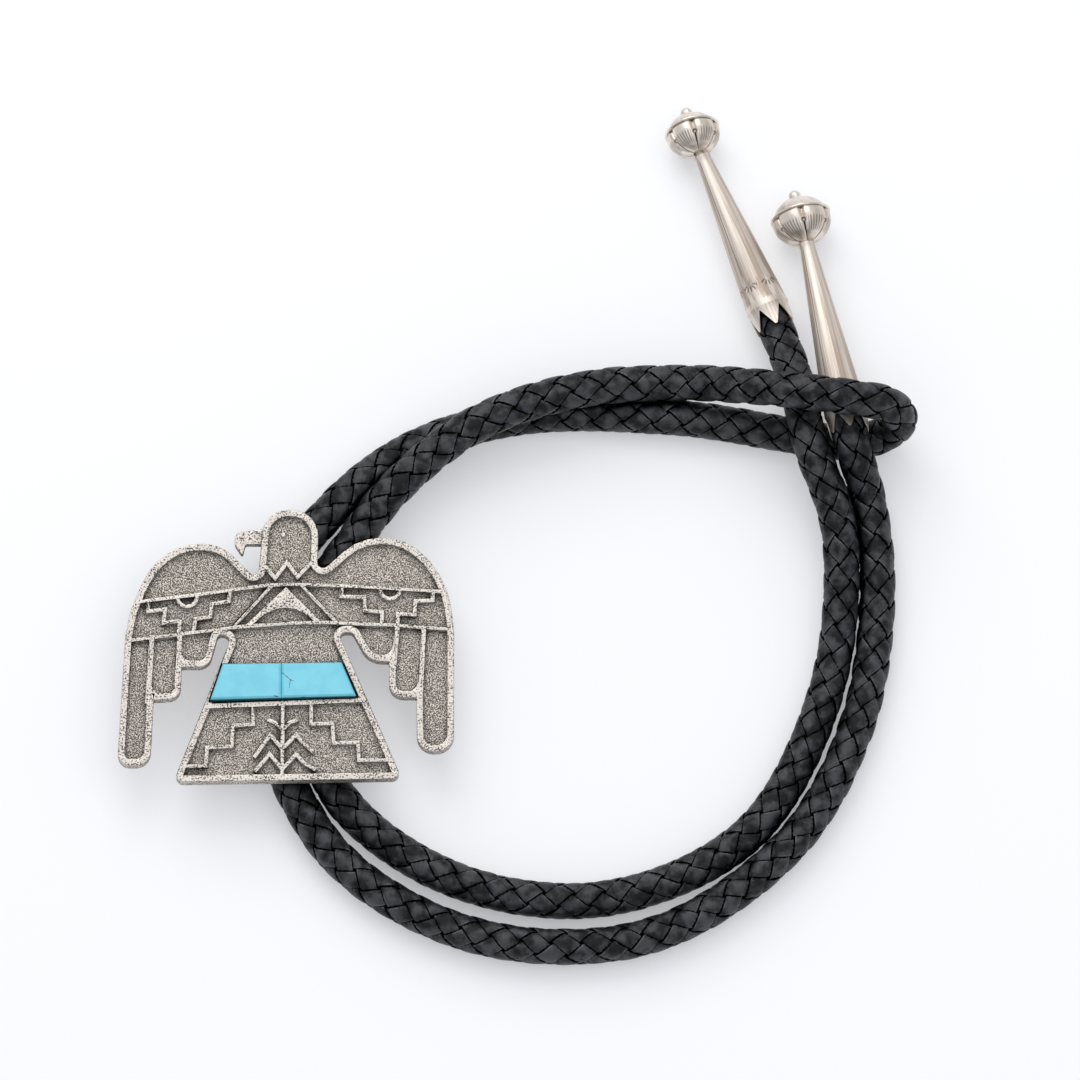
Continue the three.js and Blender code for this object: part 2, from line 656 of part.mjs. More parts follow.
function tip({ name, end, heading, tilt, ballHeading, ballTilt, size }) {
  const along = new THREE.Vector3(0, 1, 0);
  const axis = direction(heading, tilt);
  const mouth = new THREE.Vector3(...CORD_ROUTE[end]).addScaledVector(axis, -TEETH_LENGTH - CORD_INSERT);
  const centre = mouth.clone().addScaledVector(axis, TEETH_LENGTH + CONE_LENGTH * size);
  const cone = geometryOf(coneSolid(size));
  cone.applyQuaternion(new THREE.Quaternion().setFromUnitVectors(along, axis));
  cone.translate(mouth.x, mouth.y, mouth.z);
  const ball = geometryOf(ballSolid(size));
  ball.applyQuaternion(new THREE.Quaternion().setFromUnitVectors(along, direction(ballHeading, ballTilt)));
  ball.translate(centre.x, centre.y, centre.z);
  return meshOf(name, geometryOf(solidOf(cone).add(solidOf(ball))), POLISHED);
}

const group = new THREE.Group();
group.name = "bolo_tie";
group.add(slidePlate(), ...turquoise(), backClasp(), cord(), ...TIPS.map(tip));

export default group;
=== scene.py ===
"""Visual model of a bolo tie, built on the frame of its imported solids.

The tables are in millimetres, as the names say, and every mesh is in metres in the row's frame.
"""

import logging
import math
from dataclasses import dataclass
from enum import Enum
from typing import Callable, Iterable

import bmesh
import bpy
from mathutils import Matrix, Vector, noise


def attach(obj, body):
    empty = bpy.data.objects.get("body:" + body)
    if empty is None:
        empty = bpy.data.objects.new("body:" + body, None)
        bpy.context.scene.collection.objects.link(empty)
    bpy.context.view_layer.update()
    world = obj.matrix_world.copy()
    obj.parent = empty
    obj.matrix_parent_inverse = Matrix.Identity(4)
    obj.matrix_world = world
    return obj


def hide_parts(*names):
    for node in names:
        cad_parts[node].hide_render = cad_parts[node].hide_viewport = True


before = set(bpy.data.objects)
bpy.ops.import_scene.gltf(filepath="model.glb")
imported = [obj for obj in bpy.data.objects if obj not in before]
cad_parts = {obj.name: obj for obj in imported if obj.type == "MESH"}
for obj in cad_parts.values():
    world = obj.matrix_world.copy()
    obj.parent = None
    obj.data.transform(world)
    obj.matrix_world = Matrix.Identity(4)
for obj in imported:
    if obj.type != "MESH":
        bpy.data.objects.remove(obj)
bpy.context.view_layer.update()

log = logging.getLogger("bolo_tie")

MM = 0.001

# Sizes in millimetres that the pieces share
CORD_DIAMETER = 8.3
STONE_SEAM = -0.9
FIT_GAP = 0.3
CLASP_FLOOR = 1.0
CLASP_WALL = 1.2
CHANNEL_PLAY = 0.6
FLOOR_THICKNESS = 1.8
RELIEF_HEIGHT = 1.1

LYING = CORD_DIAMETER / 2
CHANNEL_X = (CORD_DIAMETER + CLASP_WALL) / 2 + CHANNEL_PLAY
CHANNEL_Z = CLASP_FLOOR + FIT_GAP + LYING
FLOOR_TOP = CHANNEL_Z + LYING + FIT_GAP + FLOOR_THICKNESS
RELIEF_TOP = FLOOR_TOP + RELIEF_HEIGHT

# Middle line of the cord in millimetres, from the right tip to the left one
CORD_ROUTE = [
    (125.6, 56.1, 12.8),
    (127.0, 48.9, 13.45),
    (131.1, 35.2, 6.2),
    (133.0, 14.0, LYING),
    (128.1, -16.4, LYING),
    (112.9, -43.9, LYING),
    (81.9, -64.7, LYING),
    (43.3, -64.9, LYING),
    (11.2, -46.0, LYING),
    (-CHANNEL_X, -11.5, CHANNEL_Z),
    (-CHANNEL_X, 0, CHANNEL_Z),
    (-CHANNEL_X, 11.5, CHANNEL_Z),
    (6.9, 30.6, 4.6),
    (26.0, 47.5, LYING),
    (51.7, 56.1, LYING),
    (87.6, 56.2, LYING),
    (127.6, 50.3, LYING),
    (135.2, 52.0, 6.7),
    (138.0, 53.4, 13.3),
    (135.2, 54.8, 19.8),
    (127.6, 55.5, 22.6),
    (108.0, 59.4, 17.4),
    (90.0, 62.6, 10.1),
    (66.0, 60.4, 12.0),
    (42.8, 52.3, 12.4),
    (24.8, 38.4, 9.4),
    (14.8, 26.2, 5.6),
    (CHANNEL_X, 11.5, CHANNEL_Z),
    (CHANNEL_X, 0, CHANNEL_Z),
    (CHANNEL_X, -11.5, CHANNEL_Z),
    (12.7, -33.2, 4.3),
    (38.2, -51.8, LYING),
    (71.9, -56.1, LYING),
    (103.8, -41.2, LYING),
    (121.4, -7.9, LYING),
    (124.5, 27.5, 8.5),
    (118.0, 47.6, 13.0),
    (114.6, 63.6, 9.4),
    (110.3, 76.8, 5.6),
    (107.9, 82.8, 5.65),
]


def linear(colour: str) -> tuple[float, float, float, float]:
    """Turn an sRGB colour into linear light.

    Args:
        colour: Six hex digits after a hash sign.

    Returns:
        Linear red, green and blue, and an alpha of 1.
    """
    parts = [int(colour[i : i + 2], 16) / 255 for i in (1, 3, 5)]
    light = [p / 12.92 if p <= 0.04045 else ((p + 0.055) / 1.055) ** 2.4 for p in parts]
    return (*light, 1.0)


def smooth_step(low: float, high: float, value: float) -> float:
    """Ease from 0 at low to 1 at high.

    Args:
        low: Value at which the step starts.
        high: Value at which the step ends.
        value: Value to ease.

    Returns:
        A number from 0 to 1.
    """
    share = min(max((value - low) / (high - low), 0.0), 1.0)
    return share * share * (3 - 2 * share)


class Shader:
    """A material's node tree and a short way to add to it."""

    def __init__(self, name: str) -> None:
        """Make an empty material.

        Args:
            name: Name of the material.
        """
        self.material = bpy.data.materials.new(name)
        self.material.use_nodes = True
        self.tree = self.material.node_tree
        self.tree.nodes.clear()

    def add(self, kind: str, inputs: dict | None = None, **settings: object) -> bpy.types.Node:
        """Add a node, and set or link its inputs.

        Args:
            kind: Node type without its ShaderNode prefix.
            inputs: A socket to link or a constant to set, for each input's name or number.
            settings: Values of the node's own properties.

        Returns:
            The new node.
        """
        node = self.tree.nodes.new("ShaderNode" + kind)
        for key, value in settings.items():
            setattr(node, key, value)
        for key, value in (inputs or {}).items():
            if isinstance(value, bpy.types.NodeSocket):
                self.tree.links.new(value, node.inputs[key])
            else:
                node.inputs[key].default_value = value
        return node

    def ramp(self, value: bpy.types.NodeSocket, low: float, high: float) -> bpy.types.NodeSocket:
        """Spread a value so that low becomes 0 and high becomes 1.

        Args:
            value: Socket to spread.
            low: Value that becomes 0.
            high: Value that becomes 1.

        Returns:
            The clamped result.
        """
        inputs = {"Value": value, "From Min": low, "From Max": high}
        return self.add("MapRange", inputs, interpolation_type="SMOOTHSTEP").outputs[0]

    def mix(self, share: object, first: object, second: object) -> bpy.types.NodeSocket:
        """Mix two colours.

        Args:
            share: How much of the second colour shows.
            first: Colour or socket that shows at 0.
            second: Colour or socket that shows at 1.

        Returns:
            The mixed colour.
        """
        inputs = {0: share, 6: first, 7: second}
        return self.add("Mix", inputs, data_type="RGBA").outputs[2]

    def maths(self, operation: str, first: object, second: object) -> bpy.types.NodeSocket:
        """Join two numbers by an arithmetic operation.

        Args:
            operation: Name of the operation.
            first: First number or socket.
            second: Second number or socket.

        Returns:
            The result.
        """
        return self.add("Math", {0: first, 1: second}, operation=operation).outputs[0]

    def vector(self, operation: str, *values: object) -> bpy.types.Node:
        """Join vectors by an arithmetic operation.

        Args:
            operation: Name of the operation.
            values: Vectors or sockets, in order.

        Returns:
            The node that does it.
        """
        return self.add("VectorMath", dict(enumerate(values)), operation=operation)

    def segment(
        self,
        place: bpy.types.NodeSocket,
        start: tuple[float, float],
        end: tuple[float, float],
    ) -> bpy.types.NodeSocket:
        """Measure how far a place is from a straight line between two points.

        Args:
            place: Coordinates in metres, without height.
            start: First end of the line in millimetres.
            end: Last end of the line in millimetres.

        Returns:
            The distance in metres.
        """
        run = Vector((end[0] - start[0], end[1] - start[1], 0)) * MM
        offset = self.vector("SUBTRACT", place, (start[0] * MM, start[1] * MM, 0.0)).outputs[0]
        along = self.vector("DOT_PRODUCT", offset, tuple(run / run.length_squared)).outputs["Value"]
        share = self.add("Clamp", {"Value": along}).outputs[0]
        nearest = self.vector("MULTIPLY", tuple(run), share).outputs[0]
        return self.vector("DISTANCE", offset, nearest).outputs["Value"]

    def noise(self, place: bpy.types.NodeSocket, size: float, detail: float) -> bpy.types.NodeSocket:
        """Make grains of one size.

        Args:
            place: Coordinates in metres.
            size: Size of a grain in metres.
            detail: Octaves of finer grain.

        Returns:
            The noise value, about 0.5 in the middle.
        """
        inputs = {"Vector": place, "Scale": 1 / size, "Detail": detail}
        return self.add("TexNoise", inputs).outputs["Fac"]

    def surface(
        self, height: bpy.types.NodeSocket | None, depth: float, **inputs: object
    ) -> bpy.types.Material:
        """Close the tree with one principled surface.

        Args:
            height: Relief of the surface, or None.
            depth: Height of that relief in metres.
            inputs: Inputs of the principled shader, with underscores for spaces.

        Returns:
            The material.
        """
        named = {key.replace("_", " "): value for key, value in inputs.items()}
        if height is not None:
            bump = self.add("Bump", {"Height": height, "Strength": 1.0, "Distance": depth})
            named["Normal"] = bump.outputs[0]
        principled = self.add("BsdfPrincipled", named)
        self.add("OutputMaterial", {"Surface": principled.outputs[0]})
        return self.material


@dataclass(frozen=True)
class CastSilver:
    """Silver cast in stone: dark grainy floors and rubbed tops."""

    slot: str = "cast_silver"
    floor: str = "#ece5dc"
    floor_dark: str = "#665d56"
    top: str = "#c9c3bc"
    top_worn: str = "#4e4842"
    # Oxide and painted shade at the foot of the walls
    foot_oxide_and_shade: str = "#2c2622"
    grain: float = 0.00025

    def make(self) -> bpy.types.Material:
        """Build the material, which changes from floor to top by height above the surface."""
        s = Shader("cast_silver_oxidised_and_rubbed")
        place = s.add("TexCoord").outputs["Object"]
        height = s.add("SeparateXYZ", {0: place}).outputs[2]
        rise = s.ramp(height, (FLOOR_TOP + 0.05) * MM, (FLOOR_TOP + 0.35) * MM)
        grain = s.noise(place, self.grain, 3.0)
        pits = s.noise(place, self.grain * 1.5, 2.0)
        patch = s.noise(place, 0.004, 2.0)
        floor = s.mix(s.ramp(grain, 0.45, 0.6), linear(self.floor_dark), linear(self.floor))
        wear = s.maths("ADD", pits, s.maths("MULTIPLY", patch, 0.25))
        top = s.mix(s.ramp(wear, 0.5, 0.63), linear(self.top_worn), linear(self.top))
        colour = s.mix(rise, floor, top)
        # Darker towards the foot of each wall, by ambient occlusion: partly oxide in the recesses, partly
        # painted shade
        hollow_shade = s.add("AmbientOcclusion", {"Distance": 0.0024}, samples=8).outputs["AO"]
        colour = s.mix(s.ramp(hollow_shade, 0.15, 1.0), linear(self.foot_oxide_and_shade), colour)
        rough = s.add("MapRange", {"Value": rise, "To Min": 0.55, "To Max": 0.4}).outputs[0]
        relief = s.maths("MULTIPLY", grain, s.maths("SUBTRACT", 1.15, rise))
        return s.surface(relief, 0.00022, Base_Color=colour, Metallic=1.0, Roughness=rough)


@dataclass(frozen=True)
class PolishedSilver:
    """Sheet silver, polished along its length, darker in its stamps, along the creases of its ball and beside
    its ring wire.
    """

    slot: str = "polished_silver"
    bright: str = "#ece4db"
    warm: str = "#b5a699"
    mouth: str = "#e6dcd0"
    stamped: str = "#332e2a"

    def make(self) -> bpy.types.Material:
        """Build the material, which darkens by the stamp attribute."""
        s = Shader("polished_sheet_silver_with_dark_stamps")
        uv = s.add("TexCoord").outputs["UV"]
        stretched = s.add("Mapping", {"Vector": uv, "Scale": (0.03, 0.003, 1.0)}).outputs[0]
        streak = s.noise(stretched, 0.0002, 3.0)
        long = s.add("Mapping", {"Vector": uv, "Scale": (0.03, 0.012, 1.0)}).outputs[0]
        patch = s.noise(long, 0.003, 4.0)
        tone = s.maths("ADD", s.maths("MULTIPLY", streak, 0.4), patch)
        colour = s.mix(s.ramp(tone, 0.6, 0.82), linear(self.bright), linear(self.warm))
        polish = s.add("Attribute", attribute_name="polish").outputs["Fac"]
        colour = s.mix(polish, colour, linear(self.mouth))
        stamp = s.add("Attribute", attribute_name="stamp").outputs["Fac"]
        colour = s.mix(stamp, colour, linear(self.stamped))
        rough = s.add("MapRange", {"Value": tone, "From Max": 1.4, "To Min": 0.5, "To Max": 0.74})
        rough = s.add("MapRange", {"Value": polish, "To Min": rough.outputs[0], "To Max": 0.16}).outputs[0]
        return s.surface(streak, 0.00002, Base_Color=colour, Metallic=1.0, Roughness=rough)


@dataclass(frozen=True)
class Nickel:
    """Plain bent nickel sheet."""

    slot: str = "nickel"
    colour: str = "#b5b2ac"

    def make(self) -> bpy.types.Material:
        """Build the material."""
        s = Shader("nickel_sheet_satin")
        place = s.add("TexCoord").outputs["Object"]
        grain = s.noise(place, 0.0004, 2.0)
        rough = s.add("MapRange", {"Value": grain, "To Min": 0.25, "To Max": 0.4}).outputs[0]
        return s.surface(grain, 0.00001, Base_Color=linear(self.colour), Metallic=1.0, Roughness=rough)


@dataclass(frozen=True)
class Turquoise:
    """Pale blue turquoise, cut flat and polished, with a few dark hairlines."""

    slot: str = "turquoise"
    pale: str = "#78cfe2"
    deep: str = "#6dc6db"
    side: str = "#2f7f8f"
    line: str = "#2f5662"
    crack_width: float = 0.11
    side_height: float = 2.0
    cracks: tuple[tuple[tuple[float, float], ...], ...] = (
        ((-0.75, -6.2), (0.2, -7.1), (1.25, -8.0), (0.95, -8.7), (0.95, -9.9)),
        ((1.25, -8.0), (1.9, -8.3)),
        ((-2.5, -11.7), (-1.5, -11.8)),
        ((3.9, -11.9), (4.5, -11.95)),
    )

    def make(self) -> bpy.types.Material:
        """Build the material, which is deeper on the stones' sides."""
        s = Shader("turquoise_cut_and_polished")
        place = s.add("TexCoord").outputs["Object"]
        height = s.add("SeparateXYZ", {0: place}).outputs[2]
        colour = s.mix(s.ramp(s.noise(place, 0.004, 3.0), 0.35, 0.7), linear(self.pale), linear(self.deep))
        flat = s.vector("MULTIPLY", place, (1.0, 1.0, 0.0)).outputs[0]
        wander = s.add("TexNoise", {"Vector": flat, "Scale": 1500.0, "Detail": 2.0}).outputs["Color"]
        flat = s.vector("MULTIPLY_ADD", wander, (0.0005, 0.0005, 0.0), flat).outputs[0]
        flat = s.vector("SUBTRACT", flat, (0.00025, 0.00025, 0.0)).outputs[0]
        wide = self.crack_width * MM
        for start, end in (pair for run in self.cracks for pair in zip(run, run[1:])):
            near = s.segment(flat, start, end)
            colour = s.mix(s.ramp(near, wide * 0.4, wide), linear(self.line), colour)
        top = (FLOOR_TOP + self.side_height) * MM
        colour = s.mix(s.ramp(height, top - 0.0004, top), linear(self.side), colour)
        return s.surface(None, 0.0, Base_Color=colour, Roughness=0.28, IOR=1.61)


@dataclass(frozen=True)
class BraidLeather:
    """Black leather lace, a little shiny, with paler patches partly of painted sheen, edges paler by wear and
    painted highlight, and painted shade between the laces.
    """

    slot: str = "leather"
    colour: str = "#0d0e10"
    # Paler patch colour: partly the leather's own tone, partly painted sheen
    pale: str = "#2c2d32"
    # Paler edge colour: partly wear, partly painted highlight
    edge: str = "#5c5d62"
    # Near-black painted shade for the gaps between laces
    gap_shade: str = "#030303"
    bump: float = 0.00018

    def make(self) -> bpy.types.Material:
        """Build the material, which follows each lace by its UV map."""
        s = Shader("black_leather_lace_braided")
        coords = s.add("TexCoord")
        place = coords.outputs["Object"]
        grain = s.noise(place, 0.00025, 3.0)
        patch = s.noise(place, 0.003, 3.0)
        # Paler patches at random: partly the leather's own tone, partly painted sheen
        colour = s.mix(s.ramp(patch, 0.4, 0.62), linear(self.colour), linear(self.pale))
        across = s.add("SeparateXYZ", {0: coords.outputs["UV"]}).outputs[0]
        side = s.maths("ABSOLUTE", s.maths("SUBTRACT", across, 0.5), 0.0)
        # Paler band near each lace's edge, in patches: partly wear, partly painted highlight
        worn_edge_and_highlight = s.maths("MULTIPLY", s.ramp(side, 0.33, 0.39), s.ramp(patch, 0.5, 0.62))
        colour = s.mix(s.maths("MULTIPLY", worn_edge_and_highlight, 0.5), colour, linear(self.edge))
        # Painted shade: lace edges and the hollows that ambient occlusion finds turn near black, and their
        # specular is turned down there too
        cover = s.maths("SUBTRACT", 1.0, s.ramp(side, 0.4, 0.43))
        open_share = s.add("AmbientOcclusion", {"Distance": 0.002}, samples=8).outputs["AO"]
        unshaded_share = s.maths("MULTIPLY", cover, s.ramp(open_share, 0.35, 0.92))
        colour = s.mix(unshaded_share, linear(self.gap_shade), colour)
        rubbed = {"Value": patch, "From Min": 0.38, "From Max": 0.64, "To Min": 0.2, "To Max": 0.6}
        shine = s.maths("MULTIPLY", unshaded_share, s.add("MapRange", rubbed).outputs[0])
        bumps = s.maths("ADD", grain, patch)
        worked = {"Value": bumps, "From Max": 2.0, "To Min": 0.18, "To Max": 0.52}
        rough = s.add("MapRange", worked).outputs[0]
        return s.surface(
            bumps,
            self.bump,
            Base_Color=colour,
            Roughness=rough,
            IOR=1.5,
            Specular_IOR_Level=shine,
        )


@dataclass(frozen=True)
class Card:
    """Plain white sheet under the tie, with a painted glow of its own that lightens the shadows on it."""

    colour: str = "#cecfd1"
    tint: str = "#fbfcff"
    glow: float = 0.34

    def make(self) -> bpy.types.Material:
        """Build the material."""
        s = Shader("white_sheet_with_painted_glow")
        return s.surface(
            None,
            0.0,
            Base_Color=linear(self.colour),
            Roughness=0.9,
            # Painted glow: the sheet gives off light of its own, which lightens the shadows cast on it
            Emission_Color=linear(self.tint),
            Emission_Strength=self.glow,
        )


class Turn(Enum):
    """Which way a lace winds round the cord."""

    LEFT = -1
    RIGHT = 1


def place_grid(
    mesh: bmesh.types.BMesh, rows: int, columns: int, place: Callable[[int, int], Vector]
) -> list[bmesh.types.BMVert]:
    """Add a grid of quads and put each of its corners in place.

    Args:
        mesh: Mesh that takes the grid.
        rows: Number of rows of corners.
        columns: Number of corners in a row.
        place: Gives the place of the corner in a row and a column, in millimetres.

    Returns:
        The corners, row by row.
    """
    grid = bmesh.ops.create_grid(
        mesh, x_segments=columns - 1, y_segments=rows - 1, size=1.0, calc_uvs=True
    )
    made = grid["verts"]
    for vert in made:
        column = round((vert.co.x + 1) / 2 * (columns - 1))
        row = round((vert.co.y + 1) / 2 * (rows - 1))
        vert.co = place(row, column) * MM
    return made


def show(
    mesh: bmesh.types.BMesh, name: str, material: bpy.types.Material, sharp: float
) -> bpy.types.Object:
    """Make a shown object of a finished mesh.

    Args:
        mesh: Finished mesh, which is freed.
        name: Name of the object.
        material: Material of the whole object.
        sharp: Angle in degrees above which an edge stays sharp.

    Returns:
        The object, which rides on the root body.
    """
    data = bpy.data.meshes.new(name)
    mesh.to_mesh(data)
    mesh.free()
    data.materials.append(material)
    data.shade_smooth()
    data.set_sharp_from_angle(angle=math.radians(sharp))
    made = bpy.data.objects.new(name, data)
    bpy.context.scene.collection.objects.link(made)
    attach(made, "root")
    log.info("%s: %d faces", name, len(data.polygons))
    return made


class CordLine:
    """Smooth line through the cord's route, which never sinks below the surface."""

    def __init__(self, route: Iterable[tuple[float, float, float]], step: float) -> None:
        """Sample the line at even steps and carry a frame along it.

        Args:
            route: Points of the route in millimetres.
            step: Distance between two samples in millimetres.
        """
        points = [Vector(row) for row in route]
        fine: list[Vector] = []
        for i in range(len(points) - 1):
            before = points[i - 1] if i else points[0] * 2 - points[1]
            after = points[i + 2] if i + 2 < len(points) else points[-1] * 2 - points[-2]
            fine += [self._between(before, points[i], points[i + 1], after, k / 60) for k in range(60)]
        fine.append(points[-1])
        lengths = [0.0]
        for a, b in zip(fine, fine[1:]):
            lengths.append(lengths[-1] + (b - a).length)
        self.length = lengths[-1]
        count = round(self.length / step)
        self.points: list[Vector] = []
        k = 0
        for i in range(count + 1):
            along = self.length * i / count
            while k < len(fine) - 2 and lengths[k + 1] < along:
                k += 1
            share = (along - lengths[k]) / (lengths[k + 1] - lengths[k])
            self.points.append(fine[k].lerp(fine[k + 1], share))
        self.tangents = [
            (self.points[min(i + 1, count)] - self.points[max(i - 1, 0)]).normalized()
            for i in range(count + 1)
        ]
        self.normals = [self.tangents[0].cross(Vector((0, 0, 1))).normalized()]
        for i in range(count):
            ahead = self.tangents[i + 1]
            carried = self.tangents[i].rotation_difference(ahead) @ self.normals[-1]
            self.normals.append((carried - ahead * carried.dot(ahead)).normalized())

    @staticmethod
    def _between(p0: Vector, p1: Vector, p2: Vector, p3: Vector, t: float) -> Vector:
        """Find a point of the centripetal spline between p1 and p2.

        Args:
            p0: Point before the stretch.
            p1: Start of the stretch.
            p2: End of the stretch.
            p3: Point after the stretch.
            t: Share of the way from p1 to p2.

        Returns:
            The point, lifted to where the cord lies on the surface if it is lower.
        """
        d0, d1, d2 = (math.sqrt((b - a).length) for a, b in ((p0, p1), (p1, p2), (p2, p3)))
        start = ((p1 - p0) / d0 - (p2 - p0) / (d0 + d1) + (p2 - p1) / d1) * d1
        end = ((p2 - p1) / d1 - (p3 - p1) / (d1 + d2) + (p3 - p2) / d2) * d1
        square = (p2 - p1) * 3 - start * 2 - end
        cube = (p1 - p2) * 2 + start + end
        point = p1 + start * t + square * t**2 + cube * t**3
        point.z = max(point.z, LYING)
        return point

    def at(self, sample: int, radius: float, angle: float) -> Vector:
        """Give a point beside the line.

        Args:
            sample: Number of the sample.
            radius: Distance from the line in millimetres.
            angle: Angle round the line in radians.

        Returns:
            The point in millimetres.
        """
        normal = self.normals[sample]
        side = self.tangents[sample].cross(normal)
        return self.points[sample] + (normal * math.cos(angle) + side * math.sin(angle)) * radius


@dataclass
class Braid:
    """The cord: flat laces wound both ways round a core, over one and under one."""

    diameter: float = CORD_DIAMETER
    laces: int = 8
    lead: float = 27.4
    lace_width: float = 4.35
    wave: float = 0.38
    curl: float = 0.42
    unevenness: float = 0.12
    columns: int = 9
    core_sides: int = 12
    core_step: int = 4
    step: float = 0.72
    finish: BraidLeather = BraidLeather()

    def lace(self, mesh: bmesh.types.BMesh, line: CordLine, turn: Turn, number: int) -> None:
        """Add one lace.

        Args:
            mesh: Mesh of the cord.
            line: Middle line of the cord.
            turn: Which way the lace winds.
            number: Number of the lace among those that wind the same way.
        """
        top = self.diameter / 2 - self.wave
        half = self.lace_width / 2 / (top * math.cos(math.atan(2 * math.pi * top / self.lead)))
        count = len(line.points)
        pitch = line.length / (count - 1)
        start = 4 * math.pi * number / self.laces

        def place(row: int, column: int) -> Vector:
            """Give a corner's place by its row along the lace and its column across it."""
            along = row * pitch
            v = column / (self.columns - 1) * 2 - 1
            over = math.cos(math.pi * along * self.laces / self.lead + 2 * turn.value * half * v) * turn.value
            flat = math.copysign(abs(over) ** 0.4, over)
            uneven = noise.noise(Vector((along * 0.11, number * 7.3, turn.value * 3.1))) * self.unevenness
            radius = top + self.wave * flat - self.curl * abs(v) ** 7 + uneven
            angle = start + turn.value * 2 * math.pi * along / self.lead + half * v
            return line.at(row, min(radius, self.diameter / 2 + 0.02), angle)

        place_grid(mesh, count, self.columns, place)

    def build(self) -> bpy.types.Object:
        """Build the braid in place of its solid.

        Returns:
            The cord's object.
        """
        line = CordLine(CORD_ROUTE, self.step)
        mesh = bmesh.new()
        mesh.loops.layers.uv.new("UVMap")
        for turn in Turn:
            for number in range(self.laces // 2):
                self.lace(mesh, line, turn, number)
        core = self.diameter / 2 - 2.2 * self.wave - 0.25
        last = len(line.points) - 1
        rows = list(range(0, last, self.core_step)) + [last]
        side = 2 * math.pi / self.core_sides
        place_grid(mesh, len(rows), self.core_sides + 1, lambda row, k: line.at(rows[row], core, side * k))
        made = show(mesh, "cord_braid", self.finish.make(), 60)
        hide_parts("braided_cord")
        return made


def direction(heading: float, tilt: float) -> Vector:
    """Give a unit vector from a direction over the surface and a tilt above it.

    Args:
        heading: Direction in degrees from +X towards +Y.
        tilt: Tilt in degrees.

    Returns:
        The vector.
    """
    turn, rise = math.radians(heading), math.radians(tilt)
    return Vector((math.cos(rise) * math.cos(turn), math.cos(rise) * math.sin(turn), math.sin(rise)))


